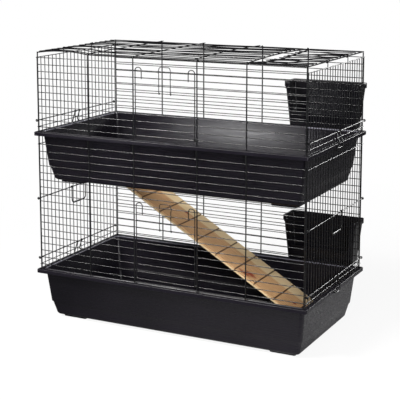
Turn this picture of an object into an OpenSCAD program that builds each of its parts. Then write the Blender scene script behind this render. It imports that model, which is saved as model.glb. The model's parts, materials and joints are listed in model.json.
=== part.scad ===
// Two-storey rabbit cage: two deep plastic trays, welded wire panels hooked between and above them,
// a drop-down door on each floor, a lift-up roof flap, tray clips, carry handles, hay racks and a ramp.
// Millimetres. +X is to the right, +Y to the back, +Z up. The origin is on the floor, in the middle
// of the whole footprint with the hay racks behind.

/* [Trays] */
// Length of each tray over its rim, left to right
tray_l = 1000; // [900:10:1100]
// Depth of each tray over its rim, front to back
tray_w = 536; // [500:4:600]
// Height of each tray, from its feet to the top of its rim
tray_h = 180; // [160:5:200]
// Thickness of the moulded plastic
tray_t = 3; // [2:0.5:4]
// Height of the lip turned down round the rim
lip_h = 13; // [9:1:17]
// Width of the flat rim at the two ends
rim_end = 16; // [15:1:21]
// Width of the flat rim at the front and the back
rim_side = 23; // [20:1:25]
// How far each wall leans in between the rim and the moulded step
wall_lean = 14; // [8:1:18]
// Height of the moulded step above the floor
step_h = 59; // [50:1:70]
// Depth of the moulded step
step_in = 3; // [1:0.5:4]
// How far the wall leans in below the step
base_lean = 9; // [6:1:12]
// Radius where the walls turn into the base
base_r = 13; // [8:1:16]
// Radius of the tray's upright corners
corner_r = 13; // [9:1:20]
// Radius of the rim's corners
rim_r = 7; // [5:1:12]
// Height of the feet moulded under the base
foot_h = 9; // [6:1:12]
// Length of a foot, left to right
foot_l = 90; // [60:5:95]
// Width of a foot, front to back
foot_w = 80; // [50:5:90]
// Radius of a foot's corners
foot_r = 6; // [3:1:12]
// How far the feet stand in from the base's outline
foot_in = 21; // [16:1:30]

/* [Floors] */
// Height from one tray to the next
tier_pitch = 481; // [450:1:520]
// Height of the roof wires above the upper rim
roof_h = 270; // [240:2:300]

/* [Wire] */
// Thickness of the upright wires and of the roof's edge wires
post_d = 4; // [3.4:0.2:4.4]
// Thickness of the thin wires that close the panels
mesh_d = 2.6; // [2.2:0.1:3]
// Thickness of the wires that turn: door edges and door hinges
turn_d = 3; // [2.6:0.1:3.2]
// Thickness of the long rods of clips and handles
rod_d = 3.5; // [3:0.1:3.8]
// How deep crossing wires are welded into each other
weld = 0.3; // [0.2:0.1:0.5]
// Clearance round a wire that turns in an eye
turn_gap = 0.1; // [0.05:0.01:0.1]
// How far an eye or ring is hammered out beyond its wire, all round
eye_flat = 0.1; // [0.05:0.05:0.2]
// Clearance between pieces that only rest on each other
rest_gap = 0.3; // [0.2:0.05:0.4]

/* [Panels] */
// Distance of the front and back wires from the rim's edge
panel_in = 14; // [12:0.5:15]
// Distance of the end wires from the rim's edge
end_in = 10; // [9.5:0.5:12]
// How far the end panels' outer uprights stand in from the front and back wires
end_side_in = 2; // [1:0.5:3]
// Width of the doorway between its two upright wires
door_bay = 232; // [190:2:250]
// Width of the bay on each side of the doorway
side_bay = 172; // [150:2:180]
// Number of thin wires up the lower front and back panels
lower_rows = 18; // [15:1:20]
// Number of thin wires up the upper front and back panels
upper_rows = 11; // [10:1:12]
// Height of the lowest thin wire above the rim
row_first = 16; // [14:0.5:20]
// Distance from the top thin wire of the lower panels to the rim above
lower_top_gap = 41; // [36:1:46]
// Distance from the top thin wire of the upper panels to the roof
upper_top_gap = 17.5; // [16:0.5:22]
// Number of upright wires in each end panel
end_wires = 23; // [19:2:25]
// How far the lower uprights' hooks come down in front
hook_drop = 36; // [26:1:40]

/* [Roof] */
// Number of gaps between the roof's long wires
roof_gaps = 15; // [13:2:17]
// Distance of the roof's cross wires and split from the nearest upright
cross_off = 8; // [7:0.5:10]
// Gap between the wire ends of the fixed roof and of the flap
flap_gap = 1; // [0.8:0.1:2]
// Gap between the facing edge wires of the fixed roof and of the flap
edge_gap = 8; // [6:0.5:10]

/* [Doors] */
// Number of thin wires in the lower door
lower_door_rows = 9; // [8:1:10]
// Number of thin wires in the upper door
upper_door_rows = 8; // [7:1:8]
// Gap between a door's edge wire and the upright beside it
door_gap = 4.5; // [3.5:0.5:6]
// Width of the arch bent at each top corner of a door
arch_w = 23; // [16:1:28]
// Height of the arches above the wire that closes the doorway
arch_up = 12; // [9:1:14]
// Distance between the two legs of a door latch
latch_w = 42; // [30:1:50]
// Number of door wires between the latch's eyes and the top of the door
latch_rows = 2; // [1:1:3]
// How far the latch reaches above the arches
latch_rise = 2.5; // [1.5:0.5:5]
// Thickness of the latch wire
latch_d = 2.4; // [2:0.1:2.8]

/* [Clips and handles] */
// Height of a clip's rod above the rim
clip_up = 37; // [33:1:42]
// Distance between the two legs of a clip at its rod
clip_w = 28; // [20:1:40]
// Length of the bar that snaps under the lip
clip_bar = 58; // [44:1:70]
// How far the clip's bar lies below the rim
clip_down = 14; // [10:0.5:16]
// Height of the handle's rod above the lower rim
handle_up = 247; // [220:1:260]
// Width of the handle
handle_w = 88; // [70:1:110]
// Length of the handle's legs
handle_h = 59; // [45:1:70]
// Thickness of the handle's grip
grip_d = 6; // [4:0.5:6.5]
// Wall of the sleeve that the handle's wire makes where it is wound round its rod
sleeve_t = 1.8; // [1.4:0.1:2]
// Length of that sleeve
sleeve_l = 5; // [4:0.5:6]

/* [Hay racks] */
// Length of a rack over its rim
rack_l = 275; // [240:5:300]
// Distance of a rack from the right-hand end of the rim
rack_end = 28; // [20:1:36]
// Depth of a rack over its rim, front to back
rack_w = 90.5; // [75:0.5:100]
// Clearance between a rack and the panel wires, and between its base and the tray's rim
rack_clear = 2.5; // [2:0.5:4]
// Height of a rack's rim above the tray's rim
rack_up = 154; // [146:1:162]
// Depth of a rack's base below the tray's rim
rack_down = 8; // [4:1:12]
// Height of the low front wall above the tray's rim
rack_front = 47; // [30:1:80]
// How far the rack's ends lean in from top to base
rack_lean = 18; // [10:1:24]
// How far the rack's back leans in from top to base
rack_back_lean = 20; // [10:1:26]
// Thickness of the rack's plastic
rack_t = 2.5; // [2:0.25:3]
// Height of the band round the rack's rim
rack_band = 18; // [12:1:22]
// Width of each hook on the rack
rack_hook_w = 10; // [8:1:14]
// Least distance of the panel wire that a rack hangs on below the rack's rim
rack_wire_in = 7; // [6:0.5:12]

/* [Ramp] */
// Width of the ramp board
ramp_w = 174; // [150:2:180]
// Thickness of the ramp board
ramp_t = 12; // [9:1:14]
// Front edge of the board, behind the middle of the cage
ramp_y = -20; // [-30:1:-10]
// Gap between the board's foot and the end of the tray's flat floor
ramp_foot_gap = 7; // [3:1:12]
// Distance between the grooves, along the slope
groove_pitch = 83.4; // [70:0.5:95]
// Width of a groove
groove_w = 3; // [2:0.5:4]
// Depth of a groove
groove_d = 2; // [1:0.25:3]
// Distance of the hatch from the left end of the upper tray's flat floor
hatch_in = 125.5; // [110:0.5:140]
// Length of the hatch in the upper floor
hatch_l = 240; // [200:5:260]
// Clearance between the hatch's edges and the board, front and back
hatch_side = 10; // [6:1:14]
// Height of the hatch's collar above the upper floor
collar_h = 12; // [8:1:16]
// Thickness of the ramp's hooks
ramp_hook_d = 4; // [3.4:0.2:4.4]
// Distance of the ramp's hooks from its edges
ramp_hook_in = 30; // [20:1:50]

/* [Hidden] */

charcoal = "#2b2a30";
wire_black = "#17171a";
rack_black = "#1b1a1e";
pine = "#c9a57c";

// Flat sides of a plain wire, and steps round a corner of a tray
wire_sides = 8;
corner_steps = 6;
eps = 0.01;
over = 1;

// Heights of the two rims, of the row wires and of the roof
rim_z = [tray_h, tray_h + tier_pitch];
roof_z = rim_z[1] + roof_h;
row_count = [lower_rows, upper_rows];
row_top = [rim_z[1] - tray_t - lower_top_gap, roof_z - upper_top_gap];
row_pitch = [for (t = [0, 1]) (row_top[t] - rim_z[t] - row_first) / (row_count[t] - 1)];
post_top = rim_z[1] - tray_t;
door_rows = [lower_door_rows, upper_door_rows];

// Planes of the wires: uprights, the thin wires behind them, the end panels and the rods outside
panel_y = tray_w / 2 - panel_in;
row_y = panel_y - post_d / 2 - mesh_d / 2 + weld;
end_x = tray_l / 2 - end_in;
end_y = panel_y - end_side_in;
end_rail_x = end_x + mesh_d - weld;
rod_x = end_x + mesh_d / 2 + mesh_d + 2 * eye_flat + turn_gap + rod_d / 2;
post_in = door_bay / 2;
post_mid = post_in + side_bay;
post_out = end_x - mesh_d / 2 - post_d / 2 - 2 * turn_gap;
end_pitch = 2 * end_y / (end_wires - 1);

// Roof: edge wires inside the hooks, long wires on top of them, cross wires on top of these, and the
// flap that turns in two eyes
cane_r = post_d + turn_gap + eye_flat;
roof_y = panel_y - cane_r;
eye_r = post_d / 2 + turn_gap + eye_flat + mesh_d / 2;
roof_x = end_x - eye_r;
long_z = roof_z + post_d / 2 + mesh_d / 2 - weld;
cross_z = long_z + mesh_d - weld;
long_pitch = 2 * roof_y / roof_gaps;
flap_lift = rest_gap + weld;
split_x = post_mid - cross_off / 2;
flap_edge_x = split_x + post_d + edge_gap;
hinge_wire = floor((end_wires - 1) / 3);
hinge_y = end_y - hinge_wire * end_pitch;

// Doors: edge wires curled round the hinge wire, thin wires behind, latch curled round one of these
sill_y = panel_y - post_d / 2 - turn_d / 2 - turn_gap / 2;
door_eye_r = turn_d + turn_gap + eye_flat;
door_y = sill_y + door_eye_r;
door_row_y = door_y - turn_d / 2 - mesh_d / 2 + weld;
door_x = post_in - post_d / 2 - door_gap - turn_d / 2;
latch_eye_r = mesh_d / 2 + turn_gap + eye_flat + latch_d / 2;
latch_y = door_row_y + latch_eye_r;
loose_row_y = door_y - turn_d / 2 - rest_gap - mesh_d / 2;

// Base of a tray: height of its floor, half length of its flat floor, and middle of a foot
floor_z = foot_h + tray_t;
base_end_in = rim_end + wall_lean + step_in + base_lean;
base_side_in = rim_side + wall_lean + step_in + base_lean;
flat_x = tray_l / 2 - base_end_in - base_r;
foot_x = tray_l / 2 - base_end_in - foot_in - foot_l / 2;
foot_y = tray_w / 2 - base_side_in - foot_in - foot_w / 2;

// Hay racks stand behind the back panels
rack_x0 = tray_l / 2 - rack_end - rack_l;
rack_y0 = panel_y + post_d / 2 + rack_clear;
rack_foot_y = tray_w / 2 + rack_clear;
rack_row = [for (t = [0, 1]) floor((rack_up - rack_wire_in - row_first) / row_pitch[t])];
rack_wire = [for (t = [0, 1]) rim_z[t] + row_first + row_pitch[t] * rack_row[t]];
cage_y = -(rack_y0 + rack_w - tray_w / 2) / 2;

// Ramp: its lowest corner stands on the lower floor, its head hooks on the hatch's collar.
// Its slope follows from the board's run, its climb and its thickness
hatch_x = -flat_x + hatch_in;
ramp_foot_x = flat_x - ramp_foot_gap;
ramp_foot_z = floor_z + rest_gap;
ramp_head_x = hatch_x - ramp_t;
deck_z = tier_pitch + foot_h;
head_drop = 8;
ramp_run = ramp_foot_x - ramp_head_x;
ramp_climb = deck_z - head_drop - ramp_foot_z;
ramp_slope = acos(ramp_t / norm([ramp_climb, ramp_run])) - atan2(ramp_run, ramp_climb);
ramp_rise = tan(ramp_slope);
ramp_len = ramp_run / cos(ramp_slope);
collar_z = tier_pitch + floor_z + collar_h;
ramp_hook_x = hatch_x + rest_gap + ramp_hook_d / 2;
ramp_face_z = ramp_foot_z + ramp_t / cos(ramp_slope) + (ramp_foot_x - ramp_hook_x) * ramp_rise;
ramp_hook_z = ramp_face_z - 0.8 * ramp_t;

// Everything is laid out round the middle of the trays, then set back to the footprint's middle
module place() {
  translate([0, cage_y, 0]) children();
}

// Straight wires along the three axes, and a straight wire between two points
module wire_x(y, z, x0, x1, d, sides = wire_sides) {
  translate([x0, y, z]) rotate([0, 90, 0]) cylinder(h = x1 - x0, d = d, $fn = sides);
}

module wire_y(x, z, y0, y1, d, sides = wire_sides) {
  translate([x, y0, z]) rotate([-90, 0, 0]) cylinder(h = y1 - y0, d = d, $fn = sides);
}

module wire_z(x, y, z0, z1, d) {
  translate([x, y, z0]) cylinder(h = z1 - z0, d = d, $fn = wire_sides);
}

module wire(p, q, d) {
  v = q - p;
  len = norm(v);
  translate(p) rotate([0, acos(v.z / len), atan2(v.y, v.x)])
    translate([0, 0, -d / 4]) cylinder(h = len + d / 2, d = d, $fn = wire_sides);
}

// Eye curled from wire d round a pin: a short tube, along X or along Y
module eye(pin_d, d) {
  difference() {
    cylinder(h = d + 2 * eye_flat, r = pin_d / 2 + turn_gap + d + 2 * eye_flat, center = true, $fn = 48);
    cylinder(h = d + 2 * over, r = pin_d / 2 + turn_gap, center = true, $fn = 48);
  }
}

module eye_x(x, y, z, pin_d, d) {
  translate([x, y, z]) rotate([0, 90, 0]) eye(pin_d, d);
}

module eye_y(x, y, z, pin_d, d) {
  translate([x, y, z]) rotate([90, 0, 0]) eye(pin_d, d);
}

// Outline with rounded corners
function outline(hx, hy, r) = [
  for (c = [0:3], k = [0:corner_steps])
    let (a = 90 * (c + k / corner_steps))
    [(c == 0 || c == 3 ? 1 : -1) * (hx - r) + r * cos(a), (c < 2 ? 1 : -1) * (hy - r) + r * sin(a)]
];

module slab(end_inset, side_inset, z, h, r) {
  translate([0, 0, z]) linear_extrude(h) polygon(outline(tray_l / 2 - end_inset, tray_w / 2 - side_inset, r));
}

// Body of a tray, t in from its outer face: rounded base, leaning wall, moulded step, leaning wall
module tray_body(t) {
  step_z = step_h + t;
  low = wall_lean + step_in + t;
  hull() {
    for (a = [0:30:90]) {
      curl = base_lean + base_r * (1 - sin(a));
      slab(rim_end + low + curl, rim_side + low + curl, foot_h + t + base_r * (1 - cos(a)), eps, corner_r);
    }
    slab(rim_end + low, rim_side + low, step_z - eps, eps, corner_r);
  }
  hull() {
    slab(rim_end + wall_lean + t, rim_side + wall_lean + t, step_z - eps, eps, corner_r);
    slab(rim_end + t, rim_side + t, tray_h - eps, eps, corner_r);
  }
}

module tray_foot(sx, sy) {
  translate([sx * foot_x, sy * foot_y, 0])
    linear_extrude(foot_h + over) polygon(outline(foot_l / 2, foot_w / 2, foot_r));
}

module tray() {
  difference() {
    union() {
      tray_body(0);
      difference() {
        slab(0, 0, tray_h - lip_h, lip_h, rim_r);
        slab(tray_t, tray_t, tray_h - lip_h - over, lip_h - tray_t + over, rim_r - tray_t);
      }
      for (sx = [-1, 1], sy = [-1, 1]) tray_foot(sx, sy);
    }
    tray_body(tray_t);
    slab(rim_end + tray_t, rim_side + tray_t, tray_h - 2 * eps, over, corner_r);
  }
}

module hatch_box(grow, z0, z1) {
  translate([hatch_x - grow, ramp_y - hatch_side - grow, z0])
    cube([hatch_l + 2 * grow, ramp_w + 2 * hatch_side + 2 * grow, z1 - z0]);
}

module lower_tray() {
  color(charcoal) place() tray();
}

module upper_tray() {
  color(charcoal) place() difference() {
    union() {
      translate([0, 0, tier_pitch]) tray();
      hatch_box(tray_t, deck_z, collar_z);
    }
    hatch_box(0, deck_z - over, collar_z + over);
  }
}

// Height of row k of floor t
function row_z(t, k) = rim_z[t] + row_first + row_pitch[t] * k;

// Hook bent over at the head of a lower upright, under the rim above
module bent_head(x) {
  z = post_top - post_d / 2;
  y = panel_y + 1.5 * post_d;
  wire(p = [x, -panel_y, z], q = [x, -y, z], d = post_d);
  wire_z(x, -y, post_top - hook_drop, post_top, post_d);
}

// Hook at the head of an upper upright, over the roof's edge wire
module cane_head(x) {
  difference() {
    eye_x(x, -roof_y, roof_z, post_d, post_d);
    translate([x - post_d, -roof_y - post_d / 2, roof_z - 3 * post_d])
      cube([2 * post_d, 4 * post_d, 3 * post_d - over]);
  }
}

// Upright wire number i of floor t, on the side sx
module post(t, sx, i) {
  x = sx * [post_in, post_mid, post_out][i];
  corner = i == 2;
  top = t == 0 ? post_top : corner ? roof_z - post_d / 2 : roof_z;
  wire_z(x, -panel_y, rim_z[t], top, post_d);
  if (t == 0 && !corner) bent_head(x);
  if (t == 1 && !corner) cane_head(x);
}

// Front panel on one side of the doorway: three uprights and every row but the hinge wire
module front_wing(t, sx) {
  for (i = [0:2]) post(t, sx, i);
  for (k = [1:row_count[t] - 1]) {
    wire_x(-row_y, row_z(t, k), sx > 0 ? post_in : -post_out, sx > 0 ? post_out : -post_in, mesh_d);
  }
}

// Rows that close the front panel above the doorway, behind the two uprights beside it
module front_top(t) {
  reach = post_in - rest_gap;
  for (k = [door_rows[t] + 1:row_count[t] - 1]) {
    wire_x(-loose_row_y, row_z(t, k), -reach, reach, mesh_d);
  }
}

module back_panel(t) {
  mirror([0, 1, 0]) {
    for (sx = [-1, 1], i = [0:2]) post(t, sx, i);
    for (k = [0:row_count[t] - 1]) wire_x(-row_y, row_z(t, k), -post_out, post_out, mesh_d);
  }
}

// End panel: close uprights, a rail above and below, and eyes for the roof on the upper floor
module end_panel(t, sx) {
  top = t == 0 ? post_top : row_top[1];
  for (k = [0:end_wires - 1]) {
    hinge = t == 1 && (k == hinge_wire || k == end_wires - 1 - hinge_wire);
    end_z = hinge ? roof_z + flap_lift - mesh_d / 2 : top + mesh_d / 2 * t;
    wire_z(sx * end_x, -end_y + k * end_pitch, rim_z[t], end_z, mesh_d);
  }
  for (z = [row_z(t, 0), row_top[t]]) {
    wire_y(sx * end_rail_x, z, -end_y - mesh_d / 2, end_y + mesh_d / 2, mesh_d);
  }
  if (t == 1) {
    for (sy = [-1, 1]) eye_y(sx * roof_x, sy * hinge_y, roof_z + flap_lift, post_d, mesh_d);
  }
}

module lower_front_left_panel() {
  color(wire_black) place() front_wing(0, -1);
}

module lower_front_right_panel() {
  color(wire_black) place() front_wing(0, 1);
}

module lower_front_top_wires() {
  color(wire_black) place() front_top(0);
}

module lower_back_panel() {
  color(wire_black) place() back_panel(0);
}

module lower_left_panel() {
  color(wire_black) place() end_panel(0, -1);
}

module lower_right_panel() {
  color(wire_black) place() end_panel(0, 1);
}

module upper_front_left_panel() {
  color(wire_black) place() front_wing(1, -1);
}

module upper_front_right_panel() {
  color(wire_black) place() front_wing(1, 1);
}

module upper_front_top_wires() {
  color(wire_black) place() front_top(1);
}

module upper_back_panel() {
  color(wire_black) place() back_panel(1);
}

module upper_left_panel() {
  color(wire_black) place() end_panel(1, -1);
}

module upper_right_panel() {
  color(wire_black) place() end_panel(1, 1);
}

// Lowest front wire of each floor: a plain round wire that the door turns on
module door_hinge_wire(t) {
  wire_x(-sill_y, row_z(t, 0), -post_out, post_out, turn_d, 48);
}

module lower_door_hinge_wire() {
  color(wire_black) place() door_hinge_wire(0);
}

module upper_door_hinge_wire() {
  color(wire_black) place() door_hinge_wire(1);
}

// Long thin wires of the roof between two X values
module roof_longs(x0, x1) {
  for (k = [1:roof_gaps - 1]) wire_x(-roof_y + k * long_pitch, long_z, x0, x1, mesh_d);
}

module roof_panel() {
  split_end = flap_edge_x - post_d / 2 - rest_gap;
  color(wire_black) place() {
    roof_longs(-roof_x, split_x - flap_gap / 2);
    for (x = [-post_mid + cross_off, -post_in + cross_off, post_in - cross_off]) {
      wire_y(x, cross_z, -roof_y, roof_y, mesh_d);
    }
    wire_y(split_x, roof_z, -roof_y, roof_y, post_d);
    wire_y(-roof_x, roof_z, -panel_y - post_d / 2, panel_y + post_d / 2, post_d);
    for (sy = [-1, 1]) wire_x(sy * roof_y, roof_z, -roof_x, split_end, post_d);
  }
}

// Flap over the right-hand bay: its outer edge wire turns in the end panel's eyes
module roof_flap() {
  color(wire_black) place() translate([0, 0, flap_lift]) {
    roof_longs(split_x + flap_gap / 2, roof_x);
    wire_y(flap_edge_x, roof_z, -roof_y, roof_y, post_d);
    wire_y(roof_x, roof_z, -panel_y - post_d / 2, panel_y + post_d / 2, post_d, 48);
    for (sy = [-1, 1]) wire_x(sy * roof_y, roof_z, flap_edge_x, roof_x, post_d);
  }
}

// Door: two edge wires curled round the hinge wire below and bent into an arch above
module door(t) {
  hinge_z = row_z(t, 0);
  close_z = row_z(t, door_rows[t] + 1);
  arch_z = close_z + arch_up - turn_d / 2;
  low_z = row_z(t, door_rows[t]);
  latch_row = door_rows[t] - latch_rows;
  bend_d = turn_d + turn_gap;
  for (sx = [-1, 1]) {
    outer = sx * door_x;
    inner = sx * (door_x - arch_w);
    flat = sx * arch_w / 4;
    eye_x(outer, -sill_y, hinge_z, turn_d, turn_d);
    wire_z(outer, -door_y, hinge_z, arch_z - arch_w / 4, turn_d);
    wire([outer, -door_y, arch_z - arch_w / 4], [outer - flat, -door_y, arch_z], bend_d);
    wire([outer - flat, -door_y, arch_z], [inner + flat, -door_y, arch_z], turn_d);
    wire([inner + flat, -door_y, arch_z], [inner, -door_y, arch_z - arch_w / 4], bend_d);
    wire_z(inner, -door_y, low_z - mesh_d, arch_z - arch_w / 4, turn_d);
  }
  for (k = [1:door_rows[t]]) {
    reach = door_x + turn_d / 2;
    wire_x(-door_row_y, row_z(t, k), -reach, reach, mesh_d, k == latch_row ? 48 : wire_sides);
  }
}

module lower_door() {
  color(wire_black) place() door(0);
}

module upper_door() {
  color(wire_black) place() door(1);
}

// Latch: two legs curled round a door wire, kinked in under the closing wire and joined above it
module latch(t) {
  eye_z = row_z(t, door_rows[t] - latch_rows);
  close_z = row_z(t, door_rows[t] + 1);
  top_z = close_z + arch_up + latch_rise;
  half = latch_w / 2;
  kink = 2;
  bend_d = latch_d + turn_gap;
  for (sx = [-1, 1]) {
    low = [sx * half, -latch_y, close_z - 4 * kink];
    out = [sx * (half + kink), -latch_y, close_z - kink];
    high = [sx * (half - kink), -latch_y, top_z - kink];
    end = [sx * (half - 3 * kink), -latch_y, top_z];
    eye_x(sx * half, -door_row_y, eye_z, mesh_d, latch_d);
    wire_z(sx * half, -latch_y, eye_z, low.z, latch_d);
    wire(low, out, bend_d);
    wire(out, high, latch_d);
    wire(high, end, bend_d);
  }
  wire_x(-latch_y, top_z, -half + 3 * kink, half - 3 * kink, latch_d);
}

module lower_door_latch() {
  color(wire_black) place() latch(0);
}

module upper_door_latch() {
  color(wire_black) place() latch(1);
}

// Clip: a rod along the end panel with a tongue that reaches down over the tray's lip
module clip(t) {
  z = rim_z[t];
  rod_z = z + clip_up;
  lip_x = tray_l / 2 + rest_gap + rod_d / 2;
  knee_x = lip_x + rod_d;
  knee_z = z + 1.5 * rod_d;
  bar_z = z - clip_down;
  wire_y(rod_x, rod_z, -panel_y - post_d / 2, panel_y + post_d / 2, rod_d, 48);
  for (sy = [-1, 1]) {
    wire([rod_x, sy * clip_w / 2, rod_z], [knee_x, sy * clip_w / 2, knee_z], rod_d);
    wire([knee_x, sy * clip_w / 2, knee_z], [lip_x, sy * clip_bar / 2, bar_z], rod_d);
  }
  wire_y(lip_x, bar_z, -clip_bar / 2, clip_bar / 2, rod_d);
}

// Rings on the end uprights that hold the ends of the clips' and handles' rods
module rod_rings() {
  color(wire_black) place() for (z = [rim_z[0] + clip_up, rim_z[0] + handle_up, rim_z[1] + clip_up]) {
    for (sx = [-1, 1], sy = [-1, 1]) eye_y(sx * rod_x, sy * end_y, z, rod_d, mesh_d);
  }
}

module lower_left_clip() {
  color(wire_black) place() mirror([1, 0, 0]) clip(0);
}

module lower_right_clip() {
  color(wire_black) place() clip(0);
}

module upper_left_clip() {
  color(wire_black) place() mirror([1, 0, 0]) clip(1);
}

module upper_right_clip() {
  color(wire_black) place() clip(1);
}

// Handle: a hanging grip whose two legs end in sleeves wound round a rod along the end panel
module handle() {
  rod_z = rim_z[0] + handle_up;
  grip_z = rod_z - handle_h;
  half = handle_w / 2;
  bend = handle_w / 8;
  bore = rod_d / 2 + turn_gap;
  for (sy = [-1, 1]) {
    translate([rod_x, sy * half, rod_z]) rotate([90, 0, 0]) difference() {
      cylinder(h = sleeve_l, r = bore + sleeve_t, center = true, $fn = 48);
      cylinder(h = sleeve_l + 2 * over, r = bore, center = true, $fn = 48);
    }
    wire_z(rod_x, sy * half, grip_z + bend, rod_z - bore - sleeve_t / 2, rod_d);
    wire([rod_x, sy * half, grip_z + bend], [rod_x, sy * (half - bend), grip_z], rod_d);
  }
  wire_y(rod_x, grip_z, -half + bend, half - bend, grip_d);
}

module handle_rod() {
  wire_y(rod_x, rim_z[0] + handle_up, -panel_y - post_d / 2, panel_y + post_d / 2, rod_d, 48);
}

module left_handle() {
  color(wire_black) place() mirror([1, 0, 0]) handle();
}

module left_handle_rod() {
  color(wire_black) place() mirror([1, 0, 0]) handle_rod();
}

module right_handle() {
  color(wire_black) place() handle();
}

module right_handle_rod() {
  color(wire_black) place() handle_rod();
}

// Inside or outside of a rack, t in from its outer face, up to height z1 above the base
module rack_form(t) {
  base = [rack_x0 + rack_lean + t, rack_foot_y + t, -rack_down + t];
  head = [rack_x0 + rack_t + t, rack_y0 + rack_t + t, rack_up - eps];
  hull() {
    translate(base)
      cube([rack_l - 2 * (rack_lean + t), rack_y0 + rack_w - rack_back_lean - rack_foot_y - 2 * t, eps]);
    translate(head) cube([rack_l - 2 * (rack_t + t), rack_w - 2 * (rack_t + t), eps]);
  }
}

// Hook that reaches between the wires of the back panel and over one of them
module rack_hook(t, x) {
  wire_z = rack_wire[t] - rim_z[t];
  arm_z = wire_z + mesh_d / 2 + rest_gap;
  tip_y = row_y - mesh_d / 2 - rest_gap - rack_t;
  translate([x, tip_y, arm_z]) cube([rack_hook_w, rack_y0 + 2 * rack_t - tip_y, rack_t]);
  translate([x, tip_y, arm_z - 2.5 * rack_t]) cube([rack_hook_w, rack_t, 3 * rack_t]);
}

// Rack: deep bin with a low front, a band round its other three sides and two hooks
module hay_rack(t) {
  translate([0, 0, rim_z[t]]) {
    difference() {
      union() {
        rack_form(0);
        translate([rack_x0, rack_y0, rack_up - rack_band]) cube([rack_l, rack_w, rack_band]);
      }
      rack_form(rack_t);
      translate([rack_x0 + 2 * rack_t, rack_y0 + 2 * rack_t, rack_up - over])
        cube([rack_l - 4 * rack_t, rack_w - 4 * rack_t, 2 * over]);
      translate([rack_x0 + 2 * rack_hook_w, rack_y0 - over, rack_front])
        cube([rack_l - 4 * rack_hook_w, rack_w / 5, rack_up]);
    }
    for (x = [rack_x0 + rack_hook_w, rack_x0 + rack_l - 2 * rack_hook_w]) rack_hook(t, x);
  }
}

module lower_hay_rack() {
  color(rack_black) place() hay_rack(0);
}

module upper_hay_rack() {
  color(rack_black) place() hay_rack(1);
}

// Board of the ramp, from its foot up to its head, with grooves across its face
module ramp_board() {
  hole_d = ramp_hook_d + 2 * turn_gap;
  color(pine) place() difference() {
    translate([ramp_foot_x, ramp_y, ramp_foot_z]) rotate([0, ramp_slope, 0])
      translate([-ramp_len, 0, 0]) difference() {
        cube([ramp_len, ramp_w, ramp_t]);
        for (x = [groove_pitch / 2:groove_pitch:ramp_len - groove_w]) {
          translate([x, -over, ramp_t - groove_d]) cube([groove_w, ramp_w + 2 * over, groove_d + over]);
        }
      }
    for (y = ramp_hook_ys()) {
      translate([ramp_hook_x, y, ramp_hook_z - rest_gap]) cylinder(h = 2 * ramp_t, d = hole_d, $fn = 32);
    }
  }
}

function ramp_hook_ys() = [ramp_y + ramp_hook_in, ramp_y + ramp_w - ramp_hook_in];

// Hooks driven into the head of the board and bent over the hatch's collar
module ramp_hooks() {
  top_z = collar_z + rest_gap + ramp_hook_d / 2;
  back_x = hatch_x - tray_t - rest_gap - ramp_hook_d / 2;
  color(wire_black) place() for (y = ramp_hook_ys()) {
    wire_z(ramp_hook_x, y, ramp_hook_z, top_z, ramp_hook_d);
    wire([ramp_hook_x, y, top_z], [back_x, y, top_z], ramp_hook_d);
    wire_z(back_x, y, collar_z - collar_h / 2, top_z, ramp_hook_d);
  }
}

lower_tray();
upper_tray();
lower_front_left_panel();
lower_front_right_panel();
lower_front_top_wires();
lower_back_panel();
lower_left_panel();
lower_right_panel();
lower_door_hinge_wire();
upper_front_left_panel();
upper_front_right_panel();
upper_front_top_wires();
upper_back_panel();
upper_left_panel();
upper_right_panel();
upper_door_hinge_wire();
roof_panel();
roof_flap();
lower_door();
upper_door();
lower_door_latch();
upper_door_latch();
lower_left_clip();
lower_right_clip();
upper_left_clip();
upper_right_clip();
left_handle();
left_handle_rod();
right_handle();
right_handle_rod();
rod_rings();
lower_hay_rack();
upper_hay_rack();
ramp_board();
ramp_hooks();
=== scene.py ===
"""Looks of a two-storey rabbit cage: moulded trays, powder-coated wire, hay racks and a pine ramp."""

import json
import math

import bpy
import numpy as np
from bpy.props import FloatProperty, FloatVectorProperty, IntProperty, PointerProperty
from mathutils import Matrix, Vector

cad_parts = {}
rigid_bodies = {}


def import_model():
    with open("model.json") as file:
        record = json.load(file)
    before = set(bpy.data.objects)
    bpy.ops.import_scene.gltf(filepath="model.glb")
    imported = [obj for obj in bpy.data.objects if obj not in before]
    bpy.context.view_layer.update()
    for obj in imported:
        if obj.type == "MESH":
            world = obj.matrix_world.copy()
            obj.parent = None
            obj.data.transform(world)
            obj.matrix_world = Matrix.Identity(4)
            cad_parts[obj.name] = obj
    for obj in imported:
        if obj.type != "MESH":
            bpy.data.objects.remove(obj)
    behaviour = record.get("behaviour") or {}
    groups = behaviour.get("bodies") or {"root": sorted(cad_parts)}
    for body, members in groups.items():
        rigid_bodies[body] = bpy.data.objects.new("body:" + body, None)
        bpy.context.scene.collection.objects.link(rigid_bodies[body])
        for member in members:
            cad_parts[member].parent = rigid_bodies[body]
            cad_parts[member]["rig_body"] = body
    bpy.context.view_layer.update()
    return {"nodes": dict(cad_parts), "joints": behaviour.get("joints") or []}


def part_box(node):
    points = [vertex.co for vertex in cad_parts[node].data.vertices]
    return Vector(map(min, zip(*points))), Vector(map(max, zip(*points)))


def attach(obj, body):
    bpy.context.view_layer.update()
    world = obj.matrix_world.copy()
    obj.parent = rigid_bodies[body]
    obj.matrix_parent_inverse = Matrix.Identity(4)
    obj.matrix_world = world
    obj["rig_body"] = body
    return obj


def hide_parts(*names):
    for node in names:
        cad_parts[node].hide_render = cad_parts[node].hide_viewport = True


bl_info = {
    "name": "Rabbit cage",
    "version": (1, 0, 0),
    "blender": (4, 5, 0),
    "location": "View3D > Sidebar > Rabbit cage",
    "description": "Builds the visible surfaces of a two-storey rabbit cage over its packed frame",
    "category": "Add Mesh",
}

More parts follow.
